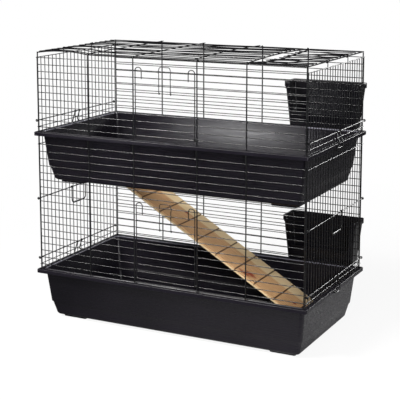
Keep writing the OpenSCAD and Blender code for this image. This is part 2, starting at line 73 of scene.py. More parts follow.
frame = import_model()
NODES = frame["nodes"]
PIVOTS = {joint["name"]: joint["pos_m"] for joint in frame["joints"] if "pos_m" in joint}
TRAY_LOW, TRAY_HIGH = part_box("lower_tray")
UPPER_TRAY_LOW, UPPER_TRAY_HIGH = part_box("upper_tray")
RACK_LOW, RACK_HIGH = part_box("lower_hay_rack")
MM = 0.001
RAMP_THICKNESS = 12 * MM


# Sizes and colours


def size(name, description, default):
    """A length property in metres."""
    return FloatProperty(name=name, description=description, default=default, min=0.0, max=2.0,
                         subtype="DISTANCE", unit="LENGTH", precision=4)


def srgb(text):
    """Linear red, green and blue of an sRGB hex colour."""
    v = np.array([int(text[i:i + 2], 16) for i in (1, 3, 5)]) / 255
    return tuple(np.where(v <= 0.04045, v / 12.92, ((v + 0.055) / 1.055) ** 2.4))


def colour(name, description, text):
    """A colour property whose default is given as sRGB hex."""
    return FloatVectorProperty(name=name, description=description, default=srgb(text), size=3,
                               subtype="COLOR", min=0.0, max=1.0)


class CageSizes(bpy.types.PropertyGroup):
    """Sizes of the surfaces; those of the trays come from the frame"""

    tray_length: size("Tray length", "Length of a tray over its rim", TRAY_HIGH.x - TRAY_LOW.x)
    tray_depth: size("Tray depth", "Depth of a tray over its rim", TRAY_HIGH.y - TRAY_LOW.y)
    tray_height: size("Tray height", "Height of a tray from its feet to its rim", TRAY_HIGH.z - TRAY_LOW.z)
    tray_wall: size("Tray wall", "Thickness of the trays' plastic", 3 * MM)
    lip_height: size("Lip height", "Height of the lip turned down round the rim", 13 * MM)
    tier_pitch: size("Tier pitch", "Height from one tray to the next", UPPER_TRAY_LOW.z - TRAY_LOW.z)
    post_wire: size("Upright wire", "Coated thickness of the uprights and of the roof's edge wires", 4.3 * MM)
    mesh_wire: size("Thin wire", "Coated thickness of the thin wires across the panels", 2.8 * MM)
    roof_wire: size("Roof wire", "Coated thickness of the roof's thin wires", 3.1 * MM)
    turn_wire: size("Door wire", "Coated thickness of the doors' edge wires and hinge wires", 3.1 * MM)
    rod_wire: size("Rod", "Coated thickness of the rods of clips and handles", 3.8 * MM)
    latch_wire: size("Latch wire", "Coated thickness of the door latches' wire", 2.5 * MM)
    grip_wire: size("Grip", "Coated thickness of the handles' grips", 6.3 * MM)
    wire_sides: IntProperty(name="Wire sides", description="Sides of a wire's cross-section", default=12,
                            min=6, max=24)
    roof_rise: size("Roof rise", "How far the fixed roof has been bent up at its loose end", 7 * MM)
    roof_bow: size("Roof bow", "How far the roof's front edge is bowed up beside its left corner", 8 * MM)
    flap_sag: size("Flap sag", "How far the flap's loose edge hangs down between its corners", 9 * MM)
    wobble: size("Wobble", "How far the roof's long wires stray from an even spacing", 3.5 * MM)
    ramp_width: size("Ramp width", "Width of the ramp's board", 174 * MM)
    ramp_thickness: size("Ramp thickness", "Thickness of the ramp's board", RAMP_THICKNESS)


class CageFinish(bpy.types.PropertyGroup):
    """Colours of the cage's finishes"""

    tray: colour("Tray", "Charcoal plastic of the trays", "#141218")
    wire: colour("Wire", "Black powder coating of the wires", "#08080a")
    rack: colour("Rack", "Black plastic of the hay racks", "#0f0e12")
    pine: colour("Pine", "Pale wood of the ramp", "#cfa67a")
    floor: colour("Floor", "Studio floor", "#f4f4f4")


# Layout in metres, from the middle of the trays and up from the floor, as the solids have it


FLOORS = ((0, "lower"), (1, "upper"))
ENDS = ((-1, "left"), (1, "right"))
ROD_X, CY, CLIP_ROD_Z = PIVOTS["lower_right_clip_pivot"]  # CY is the trays' middle in the frame
HANDLE_ROD_Z = PIVOTS["right_handle_pivot"][2]
GAP = 0.0003  # clearance between neighbours
MESH_R = 0.0013  # radius of the solids' thin wires
RING_GAP = 0.0002  # clearance between a rod and its ring
RIM = (round(TRAY_HIGH.z, 6), round(UPPER_TRAY_HIGH.z, 6))  # top of each tray
CLIP_ROD_UP = CLIP_ROD_Z - RIM[0]
RIM_END = 0.016  # width of the rim at a tray's ends
RIM_SIDE = 0.023  # width of the rim at its front and back
FOOT_H = 0.009
FOOT_X = 0.392
FOOT_Y = 0.158
HATCH = (-0.3195, -0.0795, -0.030, 0.164)  # its left, right, front and back
DECK_Z = 0.490  # underside of the upper tray's floor
COLLAR_Z = 0.505  # top of the collar round the hatch
POST_X = (0.116, 0.288, 0.4865)  # uprights on either side of the middle, the last one at the corner
POST_TOP = 0.658  # top of the lower floor's uprights
PANEL_Y = 0.254  # uprights of the front and back panels
ROW_Y = 0.251  # wires across them
LOOSE_ROW_Y = 0.25055  # wires above a door
ROWS = (18, 11)  # wires across a front or back panel, counting the hinge wire
ROW_PITCH = (0.421 / 17, 0.02365)
END_X = 0.490  # uprights of the end panels
END_Y = 0.252
END_WIRES = 23
RAIL_X = 0.4923
FLAP_LIFT = 0.0006  # the flap lies this much higher than the fixed roof
ROOF_X, _, FLAP_Z = PIVOTS["roof_flap_hinge"]
ROOF = FLAP_Z - FLAP_LIFT  # middle of the roof's edge wires
CANE_R = 0.0042  # hook of an upright over such a wire
ROOF_Y = PANEL_Y - CANE_R
LONG_Z = 0.934  # thin wires along the roof
CROSS_Z = 0.9363  # thin wires across it
ROOF_WIRES = 14
SPLIT_X = 0.284  # right edge of the fixed roof
FLAP_EDGE_X = 0.296  # loose edge of the flap
HINGE_Y = 0.09164  # eyes of the flap's hinge
SILL_Y = CY - PIVOTS["lower_door_hinge"][1]  # hinge wire of a door
DOOR_X = 0.108  # edge wires of a door
DOOR_Y = 0.25365
DOOR_ROW_Y = 0.25115
DOOR_ROWS = (9, 8)  # wires across a door, not counting the hinge wire
LATCH_Y = 0.25385
RACK_Y = (0.2585, round(RACK_HIGH.y - CY, 6))  # front and back of a hay rack's mouth
RACK_WALL = 0.0025
RAMP_FOOT = (0.438, 0.0123)  # X and height of the board's lower end
RAMP_RUN = 0.7695
RAMP_CLIMB = 0.4697
RAMP_SLOPE = math.acos(RAMP_THICKNESS / math.hypot(RAMP_RUN, RAMP_CLIMB)) - math.atan2(RAMP_RUN, RAMP_CLIMB)
RAMP_Y = -0.020  # front edge of the board
HOOK_WIRE = 0.004
CUT = 0.3  # share of its radius by which a wire's cut end is drawn in
FOCAL_PIXELS = 1150.7  # focal length solved from the photograph, in its pixels
PHOTO_PIXELS = 400
FILM = 36.0  # width of the camera's film in millimetres


def row_z(floor, k):
    """Height of row wire k of a floor: the first stands 16 mm above the rim, the rest at an even pitch."""
    return RIM[floor] + 0.016 + ROW_PITCH[floor] * k


# Surfaces


def unit(v):
    """Vectors along the last axis scaled to length one."""
    return v / np.linalg.norm(v, axis=-1, keepdims=True)


def circle(u, v, sides):
    """Points round circles of radius one: u times the cosine plus v times the sine of even angles."""
    t = np.arange(sides) * 2 * math.pi / sides
    return u[..., None, :] * np.cos(t)[:, None] + v[..., None, :] * np.sin(t)[:, None]


def grid_faces(rows, columns, close_columns=True, close_rows=False):
    """Quads of a grid of rows times columns points, wrapped along either direction if asked."""
    r = np.arange(rows if close_rows else rows - 1)
    c = np.arange(columns if close_columns else columns - 1)
    i, j = np.meshgrid(r, c, indexing="ij")
    i2, j2 = (i + 1) % rows, (j + 1) % columns
    quads = np.stack([i * columns + j, i * columns + j2, i2 * columns + j2, i2 * columns + j], -1)
    return quads.reshape(-1, 4)


def caps(verts, rows):
    """Faces that close the last and the first loop of a grid's rows, both facing outwards."""
    loop = len(verts) // rows
    first = list(range(loop))
    return [i + len(verts) - loop for i in first], first[::-1]


def wires(s, ends, diameter, warp=None, round_end=CUT):
    """Round wires between pairs of points, all in one array: every wire is a stack of rings on its axis,
    and each cut end a point in a smaller ring, with the first full ring a little further in. A warp takes
    the axis points, wires outer, and the share of the length at each, and returns them moved."""
    e = np.array(ends, float)
    p, q = e[:, 0], e[:, 1]
    r = diameter / 2
    axis = unit(q - p)
    a = unit(np.cross(axis, np.where(np.abs(axis[:, 2:]) > 0.9, [[1.0, 0, 0]], [[0, 0, 1.0]])))
    share = np.concatenate([[0, 0], np.linspace(0, 1, 25 if warp else 2), [1, 1]])
    count = len(share)
    offset = np.zeros(count)
    offset[[2, -3]] = round_end * r, -round_end * r
    scale = np.full(count, r)
    scale[[0, 1, -2, -1]] = 0, r * (1 - round_end), r * (1 - round_end), 0
    base = p[:, None] + (q - p)[:, None] * share[None, :, None] + axis[:, None] * offset[None, :, None]
    if warp:
        base = warp(base, share)
    around = circle(a, np.cross(axis, a), s.wire_sides)[:, None]
    verts = base[:, :, None] + around * scale[None, :, None, None]
    each = (np.arange(len(p)) * count * s.wire_sides)[:, None, None]
    return verts.reshape(-1, 3), (grid_faces(count, s.wire_sides) + each).reshape(-1, 4)


def row_wires(s, floor, x0, x1, y, numbers, diameter):
    """Wires across a panel at the heights of some row numbers."""
    return wires(s, [((x0, y, row_z(floor, k)), (x1, y, row_z(floor, k))) for k in numbers], diameter)


def bend(points, radius, steps=6):
    """Path through points with every inner corner turned by an arc: the arc starts and ends radius *
    tan(half the turn) from the corner, and runs as a weighted quadratic blend of its two ends and the
    corner."""
    pts = np.asarray(points, float)
    out = [pts[:1]]
    s = np.linspace(0, 1, steps + 1)[:, None]
    for corner, before, after in zip(pts[1:-1], pts[:-2], pts[2:]):
        u, v = unit(before - corner), unit(after - corner)
        half = (math.pi - math.acos(float(np.clip(u @ v, -1, 1)))) / 2
        nearer = min(np.linalg.norm(before - corner), np.linalg.norm(after - corner))
        reach = min(radius * math.tan(half), nearer * 0.49)
        b0, b1, b2 = (1 - s) ** 2, 2 * s * (1 - s) * math.cos(half), s ** 2
        out.append((b0 * (corner + u * reach) + b1 * corner + b2 * (corner + v * reach)) / (b0 + b1 + b2))
    out.append(pts[-1:])
    return np.concatenate(out)


def arc(centre, radius, first, last, x):
    """Path along an arc in the plane of a given X: the angle runs evenly from first to last degrees."""
    t = np.radians(np.linspace(first, last, 14))
    return np.stack([np.full(len(t), x), centre[0] + radius * np.cos(t), centre[1] + radius * np.sin(t)], 1)


def bent_wire(s, path, diameter, normal):
    """Round wire along a path that lies square to normal, or nearly: each ring lies in the plane of the
    path's direction crossed with normal and of the direction crossed with that, and the end rings are drawn
    in."""
    p = path[np.concatenate([[True], np.linalg.norm(np.diff(path, axis=0), axis=1) > 1e-7])]
    d = unit(np.gradient(p, axis=0))
    r = diameter / 2
    first, last = p[:1] - d[:1] * CUT * r, p[-1:] + d[-1:] * CUT * r
    p = np.concatenate([first, first, p, last, last])
    d = np.pad(d, ((2, 2), (0, 0)), mode="edge")
    a = unit(np.cross(d, normal))
    scale = np.full(len(p), r)
    scale[[0, 1, -2, -1]] = 0, (1 - CUT) * r, (1 - CUT) * r, 0
    verts = p[:, None] + circle(a, np.cross(d, a), s.wire_sides) * scale[:, None, None]
    return verts.reshape(-1, 3), grid_faces(len(p), s.wire_sides)


def ring(centre, radius, diameter):
    """Closed ring of wire square to Y: a circle of points, each carrying a circle of the wire's size."""
    points, sides = 24, 10
    out = circle(np.array([1.0, 0, 0]), np.array([0, 0, -1.0]), points)
    wire = circle(out, np.array([0, 1.0, 0]), sides) * diameter / 2
    verts = np.asarray(centre) + out[:, None] * radius + wire
    return verts.reshape(-1, 3), grid_faces(points, sides, close_rows=True)


def lofted(rows, corner, edge):
    """Surface through rounded rectangles. A row holds half length, half depth, corner radius and height,
    and for one that stands aside its own middle. Each quarter is an arc of corner steps, then a straight
    edge of edge steps."""
    m = np.array([[*row, 0.0, 0.0][:6] for row in rows])
    hx, hy, r = (m[:, i:i + 1] for i in range(3))
    along = np.linspace(0, 1, edge + 1)[1:-1, None]
    quarters = ((1, 1), (-1, 1), (-1, -1), (1, -1))
    sides = []
    for c, (sx, sy) in enumerate(quarters):
        nx, ny = quarters[(c + 1) % 4]
        a = np.linspace(0, math.pi / 2, corner + 1) + c * math.pi / 2
        turn = np.stack([sx * (hx - r) + r * np.cos(a), sy * (hy - r) + r * np.sin(a)], -1)
        side = np.stack([(nx - sx) * (hx - r), (ny - sy) * (hy - r)], -1)
        sides += [turn, turn[:, -1:] + side * along]
    xy = np.concatenate(sides, 1) + m[:, None, 4:]
    z = np.broadcast_to(m[:, 3, None, None], xy[..., :1].shape)
    return np.concatenate([xy, z], -1).reshape(-1, 3), grid_faces(len(rows), xy.shape[1])


def put(name, parts, finish, stands_for, smooth_angle=40.0):
    """Makes one mesh object of several parts, each its points, its quads and any larger faces, sets it back
    from the trays' middle into the frame, gives it its finish and lets it stand for a node."""
    verts, faces, start = [], [], 0
    for points, quads, *more in parts:
        verts.append(points + (0.0, CY, 0.0))
        faces += (quads + start).tolist()
        faces += [[start + i for i in face] for face in more]
        start += len(points)
    mesh = bpy.data.meshes.new(name)
    mesh.from_pydata(np.concatenate(verts).tolist(), [], faces)
    mesh.validate()
    mesh.update()
    piece = bpy.data.objects.new(name, mesh)
    bpy.context.scene.collection.objects.link(piece)
    material, slot = finish
    mesh.materials.append(material)
    mesh.shade_smooth()
    mesh.set_sharp_from_angle(angle=math.radians(smooth_angle))
    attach(piece, NODES[stands_for]["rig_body"])
    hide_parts(stands_for)
    return piece


def mark(piece, name, points):
    """Gives a mesh a point attribute that is 1 on some points and 0 on the rest."""
    values = np.zeros(len(piece.data.vertices), np.float32)
    values[points] = 1
    piece.data.attributes.new(name, "FLOAT", "POINT").data.foreach_set("value", values)


# Materials


MIX_FACTOR = 0
MIX_A = 6
MIX_B = 7
WAVE_PERIOD = math.pi / 10  # a Wave node's bands repeat at this step of its coordinate


def rgba(c):
    """Colour with full alpha."""
    return (c[0], c[1], c[2], 1.0)


def shade(c, factor):
    """Colour made lighter or darker by a factor."""
    return tuple(min(1.0, v * factor) for v in c)


def every(*sizes):
    """Scale of a pattern whose features lie so many millimetres apart, or the scales along several axes:
    one over the size in metres."""
    scales = [1 / (size * MM) for size in sizes]
    return scales if len(scales) > 1 else scales[0]


def node(tree, kind, values=None, links=None, stops=(), **settings):
    """Adds a shader node: settings are its attributes, values its sockets' values, links its sockets'
    sources, each a socket or a node whose first output in use is meant, stops the (position, colour) pairs
    of a colour ramp."""
    made = tree.nodes.new("ShaderNode" + kind)
    for key, value in settings.items():
        setattr(made, key, value)
    for key, value in (values or {}).items():
        made.inputs[key].default_value = value
    for key, source in (links or {}).items():
        if isinstance(source, bpy.types.Node):
            source = next(output for output in source.outputs if output.enabled)
        tree.links.new(source, made.inputs[key])
    for i, (position, c) in enumerate(stops):
        element = made.color_ramp.elements[i] if i < 2 else made.color_ramp.elements.new(position)
        element.position = position
        element.color = rgba(c)
    return made


def material(name, surface, *looks):
    """The material of that name. When it is first asked for, surface draws its nodes and returns its
    shader."""
    found = bpy.data.materials.get(name)
    if found:
        return found
    made = bpy.data.materials.new(name)
    made.use_nodes = True
    made.node_tree.nodes.clear()
    node(made.node_tree, "OutputMaterial", links={"Surface": surface(made.node_tree, *looks)})
    return made


def moulded_polypropylene(tree, base, rough, grain):
    """Injection-moulded polypropylene from a spark-eroded mould: a fine even grain that spreads the
    highlights, slow flow marks in its colour, faint scuffs in its gloss, and, on points marked as edge, a
    painted highlight in pale colour along the rim, whose finish is also glossier there. The real grain
    is about 0.1 mm, drawn at 1.54 mm so it shows."""
    place = node(tree, "TexCoord").outputs["Object"]
    flow = node(tree, "TexNoise", {"Scale": every(142.86), "Detail": 3.0}, {"Vector": place})
    tone = node(tree, "ValToRGB", links={"Fac": flow},
                stops=[(0.3, shade(base, 0.86)), (0.7, shade(base, 1.16))])
    stretch = node(tree, "Mapping", {"Scale": every(55.556, 11.111, 2.0833)}, {"Vector": place})
    scuff = node(tree, "TexNoise", {"Scale": 1.0, "Detail": 4.0}, {"Vector": stretch})
    gloss = node(tree, "MapRange",
                 {"From Min": 0.35, "From Max": 0.65, "To Min": rough - 0.05, "To Max": rough + 0.07},
                 {"Value": scuff})
    # Points marked as edge get a pale colour, a painted highlight along the rims' inner edges, and a lower
    # roughness for a glossier finish.
    edge_highlight_and_gloss = node(tree, "Attribute", attribute_name="edge").outputs["Fac"]
    coloured = node(tree, "Mix", {MIX_B: rgba(srgb("#6c6b74"))}, {MIX_FACTOR: edge_highlight_and_gloss, MIX_A: tone},
                    data_type="RGBA")
    smoothed = node(tree, "MapRange", {"To Max": 0.16}, {"Value": edge_highlight_and_gloss, "To Min": gloss})
    fine = node(tree, "TexNoise", {"Scale": every(1.5385), "Detail": 2.0}, {"Vector": place})
    wave = node(tree, "TexNoise", {"Scale": every(200), "Detail": 1.0}, {"Vector": place})
    warp = node(tree, "Bump", {"Strength": 0.25, "Distance": 4 * MM}, {"Height": wave})
    bump = node(tree, "Bump", {"Strength": grain, "Distance": 0.4 * MM}, {"Height": fine, "Normal": warp})
    return node(tree, "BsdfPrincipled", {"IOR": 1.49, "Specular IOR Level": 0.17},
                {"Base Color": coloured, "Roughness": smoothed, "Normal": bump})


def powder_coated_steel(tree, base, rough, shine):
    """Drawn steel wire with a black polyester powder coating: smooth and glossy with a slight orange peel
    of about 1 mm, and a little thinner and lighter here and there. The coat gives the narrow bright line
    along each wire, and where it is rougher a broad dull one."""
    place = node(tree, "TexCoord").outputs["Object"]
    patch = node(tree, "TexNoise", {"Scale": every(25), "Detail": 3.0}, {"Vector": place})
    tone = node(tree, "ValToRGB", links={"Fac": patch},
                stops=[(0.35, shade(base, 0.8)), (0.7, shade(base, 1.5))])
    peel = node(tree, "TexNoise", {"Scale": every(1.1111), "Detail": 1.0}, {"Vector": place})
    gloss = node(tree, "MapRange", {"To Min": rough - 0.07, "To Max": rough + 0.07}, {"Value": patch})
    bump = node(tree, "Bump", {"Strength": 0.15, "Distance": 0.2 * MM}, {"Height": peel})
    return node(tree, "BsdfPrincipled", {"IOR": 1.52, "Specular IOR Level": shine},
                {"Base Color": tone, "Roughness": gloss, "Normal": bump})


def knot(tree, place, wood, centre, half):
    """Small red-brown knot in the wood: a spot whose edge is ruffled by noise of 8 mm. centre is in metres
    along and across the board, half its half sizes in millimetres."""
    ruffle = node(tree, "TexNoise", {"Scale": every(8.3333), "Detail": 2.0}, {"Vector": place})
    scale = every(*half)
    scaled = node(tree, "VectorMath", {1: (*scale, 0.0)}, {0: place}, operation="MULTIPLY")
    far = node(tree, "VectorMath", {1: (centre[0] * scale[0], centre[1] * scale[1], 0.0)}, {0: scaled},
               operation="DISTANCE")
    ruffled = node(tree, "Math", links={0: far, 1: ruffle}, operation="ADD")
    spot = node(tree, "MapRange", {"From Min": 1.0, "From Max": 1.7, "To Min": 0.92, "To Max": 0.0},
                {"Value": ruffled})
    return node(tree, "Mix", {MIX_B: rgba(srgb("#7a2812"))}, {MIX_FACTOR: spot, MIX_A: wood},
                data_type="RGBA")


def planed_pine(tree, base):
    """Planed pine board, unfinished: growth rings cut lengthwise show as distorted streaks, some 9 mm apart
    before their distortion, with darker late wood; fibres of 2.4 mm, coarser than the real ones so they
    show; a few small knots; a painted strip of light along the far edge, its border wavy at 24 mm;
    painted shade in the grooves; a dry satin sheen. Reads the board's own UV map, in metres along and across
    it."""
    place = node(tree, "UVMap", uv_map="board").outputs["UV"]
    unit_across = 38.4615
    stretch = node(tree, "Mapping", {"Scale": every(454.55, unit_across, 1000)}, {"Vector": place})
    wavy = node(tree, "TexNoise", {"Scale": unit_across / 24.04, "Detail": 2.0}, {"Vector": stretch})
    ring_scale = WAVE_PERIOD * unit_across / 9.295
    rings = node(tree, "TexWave",
                 {"Scale": ring_scale, "Distortion": 5.0, "Detail": 2.0, "Detail Scale": 0.7},
                 {"Vector": stretch}, wave_type="BANDS", bands_direction="Y").outputs["Fac"]
    streak = node(tree, "Mapping", {"Scale": every(111.11, 2.381, 1000)}, {"Vector": place})
    fibre = node(tree, "TexNoise", {"Scale": 1.0, "Detail": 4.0, "Roughness": 0.6}, {"Vector": streak})
    wood = node(tree, "ValToRGB", links={"Fac": rings},
                stops=[(0.0, shade(base, 1.15)), (0.55, base), (0.84, shade(base, 0.52)),
                       (1.0, shade(base, 0.8))])
    thread = node(tree, "ValToRGB", links={"Fac": fibre},
                  stops=[(0.34, srgb("#c5b8aa")), (0.66, srgb("#ffffff"))])
    grained = node(tree, "Mix", {MIX_FACTOR: 0.75}, {MIX_A: wood, MIX_B: thread}, data_type="RGBA",
                   blend_type="MULTIPLY")
    for centre, half in (((0.591, 0.036), (23.81, 13.333)), ((0.575, 0.018), (26.316, 8.333)),
                         ((0.262, 0.112), (11.111, 7.692)), ((0.765, 0.066), (9.091, 7.143))):
        grained = knot(tree, place, grained, centre, half)
    # A paler strip along the far edge, its border wavy: painted light, as if light fell on that strip.
    side = node(tree, "SeparateXYZ", links={"Vector": place}).outputs["Y"]
    border = node(tree, "Math", {1: 0.03}, {0: wavy, 2: side}, operation="MULTIPLY_ADD")
    pale = node(tree, "MapRange", {"From Min": 0.130, "From Max": 0.136, "To Max": 0.75}, {"Value": border})
    painted_light_strip = node(tree, "Mix", {MIX_B: rgba(srgb("#d8c49c"))}, {MIX_FACTOR: pale, MIX_A: grained},
                   data_type="RGBA")
    # Dark brown on points within 1 mm of a groove: painted shade in the grooves.
    cut = node(tree, "Attribute", attribute_name="kerf").outputs["Fac"]
    painted_groove_shade = node(tree, "Math", {1: 0.85}, {0: cut}, operation="MULTIPLY")
    grooved = node(tree, "Mix", {MIX_B: rgba(srgb("#341c0e"))}, {MIX_FACTOR: painted_groove_shade, MIX_A: painted_light_strip},
                   data_type="RGBA")
    height = node(tree, "Math", {1: 0.5}, {0: rings, 2: fibre}, operation="MULTIPLY_ADD")
    bump = node(tree, "Bump", {"Strength": 0.35, "Distance": 0.5 * MM}, {"Height": height})
    return node(tree, "BsdfPrincipled", {"Roughness": 0.65, "IOR": 1.5, "Specular IOR Level": 0.2},
                {"Base Color": grooved, "Normal": bump})


def studio_paper(tree, base):
    """White seamless paper, lit mostly behind and to the right of the cage. To the camera it is blown out,
    wholly so past 2.2 m from the lit spot's middle and mostly so near the cage, so that shadows on it are
    faint; its reflection in the plastic fades from 0.35 to 1.25 m from that middle."""
    place = node(tree, "TexCoord").outputs["Object"]
    # The paper's colour falls off with distance from this point: a painted pool of light, seen in
    # reflections; to the camera the paper glows white.
    away = node(tree, "VectorMath", {1: (0.55, 0.4, 0.0)}, {0: place}, operation="DISTANCE")
    lit = node(tree, "MapRange", {"From Min": 0.35, "From Max": 1.25, "To Min": 0.85, "To Max": 0.12},
               {"Value": away})
    seen = node(tree, "LightPath").outputs["Is Camera Ray"]
    whole = node(tree, "Math", links={0: lit, 1: seen}, operation="MAXIMUM")
    tone = node(tree, "VectorMath", {0: base}, {"Scale": whole}, operation="SCALE")
    paper = node(tree, "BsdfPrincipled", {"Roughness": 0.9, "Specular IOR Level": 0.1}, {"Base Color": tone})
    white = node(tree, "Emission", {"Color": rgba(srgb("#ffffff")), "Strength": 1.0})
    blown = node(tree, "MapRange", {"From Min": 0.9, "From Max": 2.2, "To Min": 0.88}, {"Value": away})
    share = node(tree, "Math", links={0: seen, 1: blown}, operation="MULTIPLY")
    return node(tree, "MixShader", links={0: share, 1: paper, 2: white})


def tray_plastic(context):
    """Finish of both trays."""
    look = context.scene.cage_finish.tray
    return material("moulded_polypropylene_charcoal", moulded_polypropylene, look, 0.28, 0.25), "tray_plastic"


def rack_plastic(context):
    """Finish of both hay racks."""
    look = context.scene.cage_finish.rack
    return material("moulded_polypropylene_black", moulded_polypropylene, look, 0.3, 0.12), "rack_plastic"


def wire_coat(context):
    """Finish of the panels, doors, clips and handles."""
    look = context.scene.cage_finish.wire
    return material("powder_coated_steel_wire", powder_coated_steel, look, 0.21, 0.5), "black_wire"


def dull_coat(context):
    """Finish of the roof, rubbed dull by hands and dust."""
    look = context.scene.cage_finish.wire
    return material("powder_coated_steel_roof_wire", powder_coated_steel, look, 0.5, 0.06), "black_wire"


# Trays


def tray_rows(s, base_z):
    """Loops of a tray from the middle of its underside, out and up its outer face, round the lip and the
    rim with its shallow channel for the wires, and down its inner face to the floor. Each loop is half
    length, half depth, corner radius and height; the walls lean and step as the frame's do. Returns the
    loops, and where those of the rim's inner edge, given a painted highlight, start and end among them."""
    hx, hy, top, t = s.tray_length / 2, s.tray_depth / 2, base_z + s.tray_height, s.tray_wall
    lip = top - s.lip_height
    lean, step, foot_lean, foot_r, corner, rim_r, round_r = 0.014, 0.003, 0.009, 0.013, 0.013, 0.007, 0.0025
    rows = []

    def loop(share, inset, r, z):
        """Loop set in by a share of the rim's width and by an inset of its own."""
        rows.append((hx - share * RIM_END - inset, hy - share * RIM_SIDE - inset, r, z))

    def wall(inset, up):
        """Leaning wall, set in and raised for the inner face: a quarter circle at its foot, then the
        step."""
        low, high = lean + step + inset, lean + inset
        for a in np.radians(np.linspace(0, 90, 7)):
            curl = foot_lean + foot_r * (1 - math.sin(a))
            loop(1, low + curl, corner, base_z + FOOT_H + up + foot_r * (1 - math.cos(a)))
        for edge, z in ((low, -0.0012), (low - 0.0008, 0.0), (high + 0.0008, 0.0002), (high, 0.0014)):
            loop(1, edge, corner, base_z + 0.059 + up + z)

    wall(0.0, 0.0)
    loop(1, 0.0015, corner, top - t - 0.0015)
    loop(1, 0.0, corner, top - t)
    for inset, r, z in ((t + 0.001, -0.003, top - t), (t, -0.003, top - t - 0.001), (t, -0.003, lip + 0.0008),
                        (t - 0.0008, -0.0025, lip), (0.0008, -0.0008, lip), (0.0, 0.0, lip + 0.0008),
                        (0.0, 0.0, top - round_r)):
        loop(0, inset, rim_r + r, z)
    for a in np.radians([20, 45, 70, 90]):
        loop(0, round_r * (1 - math.cos(a)), rim_r, top - round_r + round_r * math.sin(a))
    for share, drop in ((0.4125, 0.0), (0.4625, 0.0015), (0.7875, 0.0015), (0.8375, 0.0)):
        loop(share, 0.0, rim_r + (corner - rim_r) * share, top - drop)
    for a in np.radians([0, 25, 50, 75, 90]):
        loop(1, t - round_r * (1 - math.sin(a)), corner, top - round_r * (1 - math.cos(a)))
    loop(1, t + 0.0003, corner, top - 0.0045)
    inner = len(rows)
    wall(t, t)
    rows[inner:] = rows[inner:][::-1]
    floor_x, floor_y, _, floor_z = rows[-1]
    rows.append((floor_x - 0.004, floor_y - 0.004, corner - 0.002, floor_z))
    return rows, inner - 5, inner - 1


def hatch_rows(s):
    """Loops of the hatch from the upper tray's floor over its collar to the underside, each with its own
    middle."""
    x0, x1, y0, y1 = HATCH
    hx, hy, middle = (x1 - x0) / 2, (y1 - y0) / 2, ((x0 + x1) / 2, (y0 + y1) / 2)
    t, deck = s.tray_wall, DECK_Z + s.tray_wall
    loops = ((t + 0.004, 0.007, deck), (t + 0.001, 0.005, deck), (t, 0.005, deck + 0.001),
             (t, 0.005, COLLAR_Z - 0.001), (t - 0.001, 0.004, COLLAR_Z), (0.001, 0.003, COLLAR_Z),
             (0.0, 0.002, COLLAR_Z - 0.001), (0.0, 0.002, DECK_Z + 0.0006), (0.0006, 0.002, DECK_Z))
    return [(hx + grow, hy + grow, r, z, *middle) for grow, r, z in loops]


def feet(base_z):
    """Four feet moulded under a tray: each a rounded rectangle that widens a little upwards, its lower edge
    rounded off, closed below by a flat face."""
    parts = []
    for x, y in ((-FOOT_X, -FOOT_Y), (-FOOT_X, FOOT_Y), (FOOT_X, -FOOT_Y), (FOOT_X, FOOT_Y)):
        loops = ((0.0425, 0.0375, 0.005, 0.0), (0.0443, 0.0393, 0.006, 0.0006), (0.045, 0.040, 0.006, 0.0022),
                 (0.0455, 0.0405, 0.0065, FOOT_H + 0.001))
        verts, quads = lofted([(hx, hy, r, z + base_z, x, y) for hx, hy, r, z in loops], 6, 2)
        parts.append((verts, quads, caps(verts, len(loops))[1]))
    return parts


class CAGE_OT_trays(bpy.types.Operator):
    """Moulded trays with their rims, lips, steps and feet, and the hatch in the upper one"""

    bl_idname = "cage.trays"
    bl_label = "Trays"

    def execute(self, context):
        s = context.scene.cage_sizes
        for floor, level in FLOORS:
            base_z = floor * s.tier_pitch
            rows, edge_first, edge_end = tray_rows(s, base_z)
            if level == "upper":
                rows += hatch_rows(s) + rows[:1]
            verts, quads = lofted(rows, 12, 8)
            closing = caps(verts, len(rows)) if level == "lower" else ()
            parts = [(verts, quads, *closing)] + feet(base_z)
            piece = put(level + "_tray_moulding", parts, tray_plastic(context), level + "_tray")
            loop = len(verts) // len(rows)
            # Points of the rim's inner edge, where the plastic carries a painted highlight.
            mark(piece, "edge", slice(edge_first * loop, edge_end * loop))
        return {"FINISHED"}


# Wire panels


def post(s, floor, x, side):
    """Upright: on the lower floor bent over under the rim and down in front of it, on the upper floor
    curled over the roof's edge wire. side is -1 at the front and 1 at the back; the corner uprights are
    plain."""
    d, y, foot = s.post_wire, side * PANEL_Y, RIM[floor] - MESH_R
    if abs(x) == POST_X[-1]:
        return wires(s, [((x, y, foot), (x, y, (POST_TOP, ROOF - d / 2)[floor]))], d)
    if floor == 0:
        head, front = POST_TOP - d / 2, side * (PANEL_Y + 1.5 * d)
        path = bend([(x, y, foot), (x, y, head), (x, front, head), (x, front, POST_TOP - 0.036)], 0.0029)
    else:
        curl = arc((side * ROOF_Y, ROOF), CANE_R, 90 - 90 * side, 90 + 112 * side, x)
        path = np.concatenate([[(x, y, foot)], curl])
    return bent_wire(s, path, d, (1, 0, 0))


